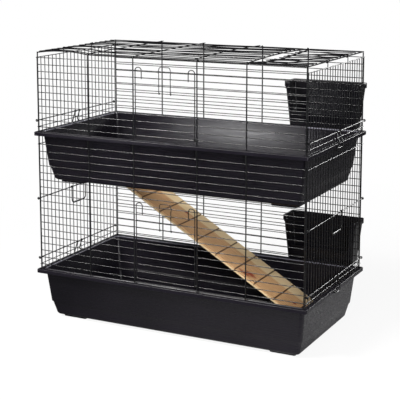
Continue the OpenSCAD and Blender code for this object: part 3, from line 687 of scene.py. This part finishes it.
class CAGE_OT_front_panels(bpy.types.Operator):
    """Front panels of both floors: uprights, row wires, the wires above the doors and the hinge wires"""

    bl_idname = "cage.front_panels"
    bl_label = "Front panels"

    def execute(self, context):
        s = context.scene.cage_sizes
        coat = wire_coat(context)
        reach = POST_X[0] + s.mesh_wire
        for floor, level in FLOORS:
            for sx, end in ENDS:
                parts = [post(s, floor, sx * x, -1) for x in POST_X]
                x0, x1 = sorted((sx * POST_X[0], sx * POST_X[-1]))
                parts.append(row_wires(s, floor, x0, x1, -ROW_Y, range(1, ROWS[floor]), s.mesh_wire))
                put(f"{level}_front_{end}_panel_wires", parts, coat, f"{level}_front_{end}_panel")
            numbers = range(DOOR_ROWS[floor] + 1, ROWS[floor])
            above = row_wires(s, floor, -reach, reach, -LOOSE_ROW_Y, numbers, s.mesh_wire)
            put(level + "_wires_above_door", [above], coat, level + "_front_top_wires")
            sill = row_wires(s, floor, -POST_X[-1], POST_X[-1], -SILL_Y, [0], s.turn_wire)
            put(level + "_door_sill_wire", [sill], coat, level + "_door_hinge_wire")
        return {"FINISHED"}


class CAGE_OT_back_panels(bpy.types.Operator):
    """Back panels of both floors"""

    bl_idname = "cage.back_panels"
    bl_label = "Back panels"

    def execute(self, context):
        s = context.scene.cage_sizes
        for floor, level in FLOORS:
            parts = [post(s, floor, sx * x, 1) for x in POST_X for sx in (-1, 1)]
            parts.append(row_wires(s, floor, -POST_X[-1], POST_X[-1], ROW_Y, range(ROWS[floor]), s.mesh_wire))
            put(level + "_back_panel_wires", parts, wire_coat(context), level + "_back_panel")
        return {"FINISHED"}


def end_panel(s, floor, sx):
    """End panel: close uprights, a rail below and above, and on the upper floor two eyes for the roof, each
    over an upright that is a third of the way along."""
    row_top = row_z(floor, ROWS[floor] - 1)
    reach = END_Y + s.mesh_wire / 2
    ends = []
    for k, y in enumerate(np.linspace(-END_Y, END_Y, END_WIRES)):
        top = (POST_TOP, row_top + s.mesh_wire / 2)[floor]
        if floor == 1 and min(k, END_WIRES - 1 - k) == (END_WIRES - 1) // 3:
            top = FLAP_Z - MESH_R
        ends.append(((sx * END_X, y, RIM[floor] - MESH_R), (sx * END_X, y, top)))
    ends += [((sx * RAIL_X, -reach, z), (sx * RAIL_X, reach, z)) for z in (row_z(floor, 0), row_top)]
    parts = [wires(s, ends, s.mesh_wire)]
    if floor == 1:
        radius = s.post_wire / 2 + RING_GAP + s.mesh_wire / 2
        parts += [ring((sx * ROOF_X, y, FLAP_Z), radius, s.mesh_wire) for y in (-HINGE_Y, HINGE_Y)]
    return parts


class CAGE_OT_end_panels(bpy.types.Operator):
    """End panels of both floors and the rings that hold the rods of clips and handles"""

    bl_idname = "cage.end_panels"
    bl_label = "End panels"

    def execute(self, context):
        s = context.scene.cage_sizes
        for floor, level in FLOORS:
            for sx, end in ENDS:
                name = f"{level}_{end}_panel"
                put(name + "_wires", end_panel(s, floor, sx), wire_coat(context), name)
        radius = s.rod_wire / 2 + RING_GAP + s.mesh_wire / 2
        rings = [ring((x, y, z), radius, s.mesh_wire)
                 for z in (RIM[0] + CLIP_ROD_UP, HANDLE_ROD_Z, RIM[1] + CLIP_ROD_UP)
                 for x in (-ROD_X, ROD_X) for y in (-END_Y, END_Y)]
        put("rod_ring_wires", rings, wire_coat(context), "rod_rings")
        return {"FINISHED"}


# Roof


def lifted(height, sway=0.0, dip=0.0):
    """Warp for a roof wire: raised by height(x, y), swayed sideways by a half wave and dipped by a half
    wave and a whole one along its length. sway and dip are lengths, or arrays with one row per wire."""
    def warp(p, share):
        half, whole = np.sin(math.pi * share), np.sin(2 * math.pi * share)
        up = height(p[..., 0], p[..., 1]) + dip * (0.7 * half + whole)
        return p + np.stack([0 * up, sway * half + 0 * up, up], -1)
    return warp


def fixed_rise(s):
    """Rise of the fixed roof: grows with the square of the distance from its left edge and is a parabola
    across, plus a bow of the front edge between the corner and the first hook that dies away to the
    back."""
    def height(x, y):
        v = y / ROOF_Y
        bay = np.clip((x + ROOF_X) / (ROOF_X - POST_X[1]), 0, 1)
        far = s.roof_rise * ((x + ROOF_X) / (SPLIT_X + ROOF_X)) ** 2 * (1 - v * v)
        return far + s.roof_bow * 4 * bay * (1 - bay) * (1 - v) / 2
    return height


def flap_drop(s):
    """Sag of the flap: none along its hinge, most at the loose edge, deeper in front than behind."""
    def height(x, y):
        v = y / ROOF_Y
        return -s.flap_sag * (ROOF_X - x) / (ROOF_X - FLAP_EDGE_X) * (1 - v * v) * (1 - 0.35 * v)
    return height


def long_wires(s, x0, x1, z, height):
    """Long thin wires between two X values, the front one 8 mm inside the edge wire and the rest evenly
    behind it. Each strays a little from its place at both ends and along its length, by sines of its
    number."""
    k = np.arange(1, ROOF_WIRES + 1)
    y = np.linspace(0.008 - ROOF_Y, ROOF_Y, ROOF_WIRES + 1)[:-1]
    stray = s.wobble * (k > 1)
    starts = np.stack([0 * y + x0, y + stray * np.sin(5.1 * k), 0 * y + z], 1)
    ends = np.stack([0 * y + x1, y + stray * np.sin(3.3 * k + 1), 0 * y + z], 1)
    sway, dip = stray * np.sin(2.4 * k), 0.7 * stray * np.sin(4.3 * k)
    return wires(s, np.stack([starts, ends], 1), s.roof_wire, lifted(height, sway[:, None], dip[:, None]))


class CAGE_OT_roof(bpy.types.Operator):
    """Fixed roof and the flap over the right-hand bay"""

    bl_idname = "cage.roof"
    bl_label = "Roof"

    def execute(self, context):
        s = context.scene.cage_sizes
        wide = PANEL_Y + s.post_wire / 2

        def across(x, z, y=ROOF_Y):
            """Ends of a wire from front to back."""
            return (x, -y, z), (x, y, z)

        def sides(x0, x1, z):
            """Ends of the front and the back edge wire."""
            return [((x0, y, z), (x1, y, z)) for y in (-ROOF_Y, ROOF_Y)]

        rise = fixed_rise(s)
        cross = [across(x, CROSS_Z) for x in (0.008 - POST_X[1], 0.008 - POST_X[0], POST_X[0] - 0.008)]
        edges = [across(SPLIT_X, ROOF)] + sides(-ROOF_X, FLAP_EDGE_X - 0.0023, ROOF)
        parts = [long_wires(s, -ROOF_X, SPLIT_X - 0.0005, LONG_Z, rise),
                 wires(s, cross, s.roof_wire, lifted(rise)), wires(s, edges, s.post_wire, lifted(rise)),
                 wires(s, [across(-ROOF_X, ROOF, wide)], s.post_wire)]
        put("roof_wires", parts, dull_coat(context), "roof_panel")

        sag = flap_drop(s)
        edges = [across(ROOF_X, FLAP_Z, wide)] + sides(FLAP_EDGE_X, ROOF_X, FLAP_Z)
        parts = [long_wires(s, SPLIT_X + 0.0005, ROOF_X, LONG_Z + FLAP_LIFT, sag),
                 wires(s, [across(FLAP_EDGE_X, FLAP_Z)], s.post_wire, lifted(sag)),
                 wires(s, edges, s.post_wire)]
        put("roof_flap_wires", parts, dull_coat(context), "roof_flap")
        return {"FINISHED"}


# Doors


def door_side(s, floor, sx):
    """Edge wire of a door: curled round the hinge wire, up, over in an arch and a little way down again."""
    low_z, high_z = row_z(floor, 0), row_z(floor, DOOR_ROWS[floor] + 1) + 0.012 - s.turn_wire / 2
    tail_z = row_z(floor, DOOR_ROWS[floor]) - s.mesh_wire
    outer, inner = sx * DOOR_X, sx * (DOOR_X - 0.023)
    curl = arc((-SILL_Y, low_z), DOOR_Y - SILL_Y, 60, -180, outer)
    rest = bend([(outer, -DOOR_Y, low_z), (outer, -DOOR_Y, high_z), (inner, -DOOR_Y, high_z),
                 (inner, -DOOR_Y, tail_z)], 0.0105, 8)
    return [bent_wire(s, curl, s.turn_wire, (1, 0, 0)), bent_wire(s, rest, s.turn_wire, (0, 1, 0))]


def latch(s, floor):
    """Latch: one wire curled round a door wire at both ends, kinked in at the closing wire, joined across
    above."""
    eye_z, close_z = row_z(floor, DOOR_ROWS[floor] - 2), row_z(floor, DOOR_ROWS[floor] + 1)
    top = close_z + 0.0145
    half, kink, y = 0.021, 0.002, -LATCH_Y
    side = [(half, y, eye_z), (half, y, close_z - 4 * kink), (half + kink, y, close_z - kink),
            (half - kink, y, top - kink), (half - 3 * kink, y, top)]
    path = bend(side + [(-x, yy, z) for x, yy, z in side[::-1]], 0.006, 5)
    parts = [bent_wire(s, path, s.latch_wire, (0, 1, 0))]
    for x in (-half, half):
        curl = arc((-DOOR_ROW_Y, eye_z), LATCH_Y - DOOR_ROW_Y, 150, -180, x)
        parts.append(bent_wire(s, curl, s.latch_wire, (1, 0, 0)))
    return parts


class CAGE_OT_doors(bpy.types.Operator):
    """Doors and their latches"""

    bl_idname = "cage.doors"
    bl_label = "Doors"

    def execute(self, context):
        s = context.scene.cage_sizes
        reach = DOOR_X + s.turn_wire / 2
        for floor, level in FLOORS:
            numbers = range(1, DOOR_ROWS[floor] + 1)
            across = row_wires(s, floor, -reach, reach, -DOOR_ROW_Y, numbers, s.mesh_wire)
            put(level + "_door_wires", [across] + door_side(s, floor, -1) + door_side(s, floor, 1),
                wire_coat(context), level + "_door")
            put(level + "_latch_wire", latch(s, floor), wire_coat(context), level + "_door_latch")
        return {"FINISHED"}


# Clips and handles


def rod(s, x, z):
    """Rod along an end panel, held in two rings."""
    reach = PANEL_Y + s.post_wire / 2
    return wires(s, [((x, -reach, z), (x, reach, z))], s.rod_wire)


def wraps(s, x, half, z):
    """Three close turns of a wire wrapped round its rod, each a ring, on either side of the middle."""
    radius, pitch, thick = s.rod_wire / 2 + 0.0008, 0.0022, 0.0026
    return [ring((x, y + k * pitch, z), radius, thick) for y in (-half, half) for k in (-1, 0, 1)]


def clip(s, floor, sx):
    """Clip: a wire that hangs from its rod over a knee, down past the rim's lip and across below it."""
    lip_x = s.tray_length / 2 + GAP + s.rod_wire / 2
    rod_z, half = RIM[floor] + CLIP_ROD_UP, 0.014
    leg = [(sx * ROD_X, half, rod_z), (sx * (lip_x + s.rod_wire), half, RIM[floor] + 1.5 * s.rod_wire),
           (sx * lip_x, 0.029, RIM[floor] - 0.014)]
    path = bend(leg + [(x, -y, z) for x, y, z in leg[::-1]], 0.005)
    return [rod(s, sx * ROD_X, rod_z), bent_wire(s, path, s.rod_wire, (sx, 0, 0.2)),
            *wraps(s, sx * ROD_X, half, rod_z)]


def handle(s, x, rod_z):
    """Carry handle: a square bow of wire that hangs from its rod, with a thicker grip along its middle."""
    half, grip_z = 0.044, rod_z - 0.059
    corners = [(half, rod_z), (half, grip_z), (0.0, grip_z), (-half, grip_z), (-half, rod_z)]
    path = bend([(x, y, z) for y, z in corners], 0.012, 8)
    grip = wires(s, [((x, -0.034, grip_z), (x, 0.034, grip_z))], s.grip_wire, round_end=0.5)
    return [bent_wire(s, path, s.rod_wire, (1, 0, 0)), grip, *wraps(s, x, half, rod_z)]


class CAGE_OT_clips_and_handles(bpy.types.Operator):
    """Spring clips that hold the trays and the two carry handles"""

    bl_idname = "cage.clips_and_handles"
    bl_label = "Clips and handles"

    def execute(self, context):
        s = context.scene.cage_sizes
        coat = wire_coat(context)
        for floor, level in FLOORS:
            for sx, end in ENDS:
                put(f"{level}_{end}_clip_wire", clip(s, floor, sx), coat, f"{level}_{end}_clip")
        for sx, end in ENDS:
            put(end + "_handle_wire", handle(s, sx * ROD_X, HANDLE_ROD_Z), coat, end + "_handle")
            put(end + "_handle_rod_wire", [rod(s, sx * ROD_X, HANDLE_ROD_Z)], coat, end + "_handle_rod")
        return {"FINISHED"}


# Hay racks


def rack_bin(base_z):
    """Bin of a hay rack: loops of one rounded rectangle that leans outwards upwards, carried up the outer
    face, out round the band under the rim, over the rim and down the inner face. Over the low front the
    height of every loop is squeezed down to the front's height by a smooth step along the loop."""
    x0, x1 = RACK_LOW.x, RACK_HIGH.x
    y0, y1 = RACK_Y
    low, high, front, band, t = -0.008, 0.154, 0.047, 0.018, RACK_WALL
    lean, back_lean, foot_y, rim_r = 0.018, 0.020, 0.2705, 0.008
    hx, hy, middle_x, middle_y = (x1 - x0) / 2, (y1 - y0) / 2, (x0 + x1) / 2, (y0 + y1) / 2

    def section(h, inset):
        """Loop of the rack's face at share h of its height, less inset."""
        ax = hx - lean * (1 - h) - t * h - inset
        ay0, ay1 = foot_y + (y0 + t - foot_y) * h, y1 - back_lean * (1 - h) - t * h
        return ax, (ay1 - ay0) / 2 - inset, 0.006, low + (high - low) * h, middle_x, (ay0 + ay1) / 2

    rows = [section(0.0, 0.003), section(0.004, 0.0008)]
    rows += [section(h, 0.0) for h in (0.02, 0.2, 0.4, 0.6, 0.8, (high - band - low) / (high - low))]
    for inset, z in ((0.0006, high - band), (0.0, high - band + 0.0008), (0.0, high - 0.001), (0.0008, high),
                     (2 * t - 0.0008, high), (2 * t, high - 0.001)):
        rows.append((hx - inset, hy - inset, max(rim_r - inset, 0.003), z, middle_x, middle_y))
    rows += [section(h, t) for h in (0.97, 0.8, 0.6, 0.4, 0.2, 0.05)] + [section(0.02, t + 0.002)]
    verts, quads = lofted(rows, 6, 24)
    x, y, z = verts.T
    dip = np.clip((hx - 0.02 - np.abs(x - middle_x)) / 0.006, 0, 1)
    dip = dip * dip * (3 - 2 * dip) * (y < middle_y)
    share = np.clip((z - low) / (high - low), 0, 1)
    verts[:, 2] = base_z + np.where(dip > 0, low + share * ((high - low) + (front - high) * dip), z)
    return verts, quads, *caps(verts, len(rows))


def rounded_strip(low, high, r=0.0008):
    """Small bar with rounded edges between two corners: rounded rectangles, the end ones drawn in by r."""
    x, y = (low[0] + high[0]) / 2, (low[1] + high[1]) / 2
    hx, hy = (high[0] - low[0]) / 2, (high[1] - low[1]) / 2
    rows = [(hx - r, hy - r, r, low[2], x, y), (hx, hy, 1.5 * r, low[2] + r, x, y),
            (hx, hy, 1.5 * r, high[2] - r, x, y), (hx - r, hy - r, r, high[2], x, y)]
    verts, quads = lofted(rows, 3, 1)
    return verts, quads, *caps(verts, len(rows))


class CAGE_OT_hay_racks(bpy.types.Operator):
    """Hay racks hung outside on the back panels"""

    bl_idname = "cage.hay_racks"
    bl_label = "Hay racks"

    def execute(self, context):
        t, width = RACK_WALL, 0.010
        tip = ROW_Y - MESH_R - GAP - t
        for floor, level in FLOORS:
            arm = row_z(floor, 5) + MESH_R + GAP
            parts = [rack_bin(RIM[floor])]
            for x in (RACK_LOW.x + width, RACK_HIGH.x - 2 * width):
                parts.append(rounded_strip((x, tip, arm), (x + width, RACK_Y[0] + 2 * t, arm + t)))
                parts.append(rounded_strip((x, tip, arm - 2.5 * t), (x + width, tip + t, arm + t / 2)))
            put(level + "_rack_moulding", parts, rack_plastic(context), level + "_hay_rack")
        return {"FINISHED"}


# Ramp


def board_surface(s):
    """Ramp board: a profile across its thickness carried along its length. Along the slope the top face
    drops 2 mm into a groove with sloped sides every 83.4 mm; all edges are rounded by 0.8 mm. Returns the
    surface, the UV of each point and whether it lies within 1 mm of a groove."""
    length = RAMP_RUN / math.cos(RAMP_SLOPE)
    t, w, e = s.ramp_thickness, s.ramp_width, 0.0008
    pitch, gw, depth = 0.0834, 0.003, 0.002
    first = np.arange(pitch / 2, length - gw, pitch)
    around = np.array([-0.0016, -0.001, -0.0004, 0.0, gw, gw + 0.0004, gw + 0.001, gw + 0.0016])
    u = np.concatenate([[0.0, e], (first[:, None] + around).ravel(), [length - e, length]])[:, None]
    cut = np.tile([0, 0, 0, depth, depth, 0, 0, 0], len(first))
    drop = np.concatenate([[e, 0.0], cut, [0.0, e]])[:, None]
    # Points within 1 mm of a groove, where the pine is darkened with painted shade.
    near = np.tile([0, 1, 1, 1, 1, 1, 1, 0], len(first))
    brown = np.concatenate([[0, 0], near, [0, 0]])[:, None]
    ends = e * ((u == 0) | (u == length))
    upper = np.array([0, 1, 1, 1, 1, 0, 0, 0])
    across = np.array([0, 0, e, w - e, w, w, w - e, e])
    v = across + ends * np.array([1, 1, 0, 0, -1, -1, 0, 0])
    z = np.array([e, t - e, t, t, t - e, e, 0, 0]) - drop * upper + ends * np.array([0, 0, 0, 0, 0, 0, 1, 1])
    out = length - u
    x = RAMP_FOOT[0] - out * math.cos(RAMP_SLOPE) + z * math.sin(RAMP_SLOPE)
    height = RAMP_FOOT[1] + out * math.sin(RAMP_SLOPE) + z * math.cos(RAMP_SLOPE)
    verts = np.stack([x, RAMP_Y + v, height], -1).reshape(-1, 3)
    uv = np.stack([u + 0 * v, v + 0.3 * (z < t / 2)], -1).reshape(-1, 2)
    return (verts, grid_faces(len(u), len(across)), *caps(verts, len(u))), uv, (brown * upper > 0).ravel()


def ramp_hook(s, y):
    """Bent wire that hooks the ramp's head over the hatch's collar."""
    reach = GAP + HOOK_WIRE / 2
    near, far, top = HATCH[0] + reach, HATCH[0] - s.tray_wall - reach, COLLAR_Z + reach
    climb = (RAMP_FOOT[0] - near) * math.tan(RAMP_SLOPE)
    face = RAMP_FOOT[1] + s.ramp_thickness / math.cos(RAMP_SLOPE) + climb
    path = bend([(near, y, face - 0.0096), (near, y, top), (far, y, top), (far, y, COLLAR_Z - 0.006)], 0.003)
    return bent_wire(s, path, HOOK_WIRE, (0, 1, 0))


class CAGE_OT_ramp(bpy.types.Operator):
    """Pine ramp and its two hooks"""

    bl_idname = "cage.ramp"
    bl_label = "Ramp"

    def execute(self, context):
        s = context.scene.cage_sizes
        part, uv, kerf = board_surface(s)
        pine = material("planed_pine", planed_pine, context.scene.cage_finish.pine)
        board = put("ramp_pine_board", [part], (pine, "pine"), "ramp_board", 30)
        index = np.zeros(len(board.data.loops), np.int32)
        board.data.loops.foreach_get("vertex_index", index)
        layer = board.data.uv_layers.new(name="board")
        layer.data.foreach_set("uv", uv[index].astype(np.float32).ravel())
        # Points near a groove, which the pine darkens with painted shade.
        mark(board, "kerf", kerf)
        hooks = [ramp_hook(s, RAMP_Y + y) for y in (0.030, s.ramp_width - 0.030)]
        put("ramp_hook_wires", hooks, wire_coat(context), "ramp_hooks")
        return {"FINISHED"}


# Stage


def lamp(name, kind, place, target, power, **settings):
    """Light aimed at a point and hidden from the camera; settings are its further attributes."""
    data = bpy.data.lights.new(name, kind)
    data.energy = power
    for key, value in settings.items():
        setattr(data, key, value)
    made = bpy.data.objects.new(name, data)
    made.location = place
    made.rotation_euler = (Vector(target) - Vector(place)).to_track_quat("-Z", "Y").to_euler()
    made.visible_camera = False
    bpy.context.scene.collection.objects.link(made)


def softbox(name, place, target, width, height, power, tint=(1.0, 1.0, 1.0)):
    """Rectangular area light."""
    lamp(name, "AREA", place, target, power, shape="RECTANGLE", size=width, size_y=height, color=tint)


class CAGE_OT_stage(bpy.types.Operator):
    """Pale floor, soft studio light and the camera at the photograph's angle"""

    bl_idname = "cage.stage"
    bl_label = "Stage"

    def execute(self, context):
        scene = context.scene
        n = 24
        x, y = np.meshgrid(np.linspace(-8, 8, n), np.linspace(-8, 8, n), indexing="ij")
        verts = np.stack([x, y, np.full_like(x, -0.2 * MM)], -1).reshape(-1, 3)
        mesh = bpy.data.meshes.new("studio_floor")
        mesh.from_pydata(verts.tolist(), [], grid_faces(n, n, close_columns=False)[:, ::-1].tolist())
        mesh.update()
        floor = bpy.data.objects.new("studio_floor", mesh)
        scene.collection.objects.link(floor)
        mesh.materials.append(material("white_seamless_paper", studio_paper, scene.cage_finish.floor))

        world = bpy.data.worlds.new("white_studio")
        world.use_nodes = True
        tree = world.node_tree
        tree.nodes.clear()
        seen = node(tree, "LightPath").outputs["Is Camera Ray"]
        wall = node(tree, "MapRange", {"To Min": 0.07}, {"Value": seen})
        back = node(tree, "Background", {"Color": rgba(srgb("#ffffff"))}, {"Strength": wall})
        node(tree, "OutputWorld", links={"Surface": back})
        scene.world = world
        scene.view_settings.view_transform = "Standard"

        softbox("overhead_softbox", (0.1, -1.2, 2.8), (0, 0, 0.5), 2.0, 1.4, 30)
        softbox("left_strip", (-1.7, -2.6, 3.1), (0.0, -0.2, 0.5), 1.8, 0.5, 230, (1.0, 0.98, 0.96))
        lamp("upper_floor_spot", "SPOT", (-1.25, -2.7, 1.25), (0.0, 0.18, 0.63), 215, spot_size=0.17,
             spot_blend=0.7, shadow_soft_size=0.15)
        softbox("right_softbox", (2.6, -3.0, 1.4), (0, 0, 0.4), 1.4, 1.2, 165)
        softbox("back_softbox", (1.45, 3.35, 1.65), (0, 0, 0.5), 0.6, 0.6, 38)

        data = bpy.data.cameras.new("camera")
        data.sensor_width = FILM
        data.lens = FOCAL_PIXELS * FILM / PHOTO_PIXELS
        data.shift_y = -0.2
        data.clip_start = 0.1
        data.clip_end = 60.0
        camera = bpy.data.objects.new("camera", data)
        # Place and turn solved from the rims, uprights and row wires in the photograph
        camera.location = (1.7468, -3.4422 + CY, 1.3223)
        camera.rotation_euler = (math.pi / 2 - 0.16, 0.0, 0.4701)
        scene.collection.objects.link(camera)
        scene.camera = camera
        return {"FINISHED"}


# Add-on


class CAGE_PT_sidebar(bpy.types.Panel):
    """Lists the cage's pieces in the sidebar"""

    bl_idname = "CAGE_PT_sidebar"
    bl_label = "Rabbit cage"
    bl_space_type = "VIEW_3D"
    bl_region_type = "UI"
    bl_category = "Rabbit cage"

    def draw(self, context):
        for operator in OPERATORS:
            self.layout.operator(operator.bl_idname)
        for group in (context.scene.cage_sizes, context.scene.cage_finish):
            for key in group.bl_rna.properties.keys():
                if key not in {"rna_type", "name"}:
                    self.layout.prop(group, key)


OPERATORS = (CAGE_OT_trays, CAGE_OT_front_panels, CAGE_OT_back_panels, CAGE_OT_end_panels, CAGE_OT_roof,
             CAGE_OT_doors, CAGE_OT_clips_and_handles, CAGE_OT_hay_racks, CAGE_OT_ramp, CAGE_OT_stage)
CLASSES = (CageSizes, CageFinish) + OPERATORS + (CAGE_PT_sidebar,)


def register():
    """Registers the classes and gives the scene its sizes and finishes."""
    for cls in CLASSES:
        bpy.utils.register_class(cls)
    bpy.types.Scene.cage_sizes = PointerProperty(type=CageSizes)
    bpy.types.Scene.cage_finish = PointerProperty(type=CageFinish)


def unregister():
    """Takes them off again."""
    del bpy.types.Scene.cage_finish
    del bpy.types.Scene.cage_sizes
    for cls in reversed(CLASSES):
        bpy.utils.unregister_class(cls)


def main():
    """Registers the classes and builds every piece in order."""
    register()
    for operator in OPERATORS:
        step = getattr(bpy.ops.cage, operator.bl_idname.split(".")[1])
        if step() != {"FINISHED"}:
            raise RuntimeError(operator.bl_label + " did not finish")


if __name__ == "__main__":
    main()
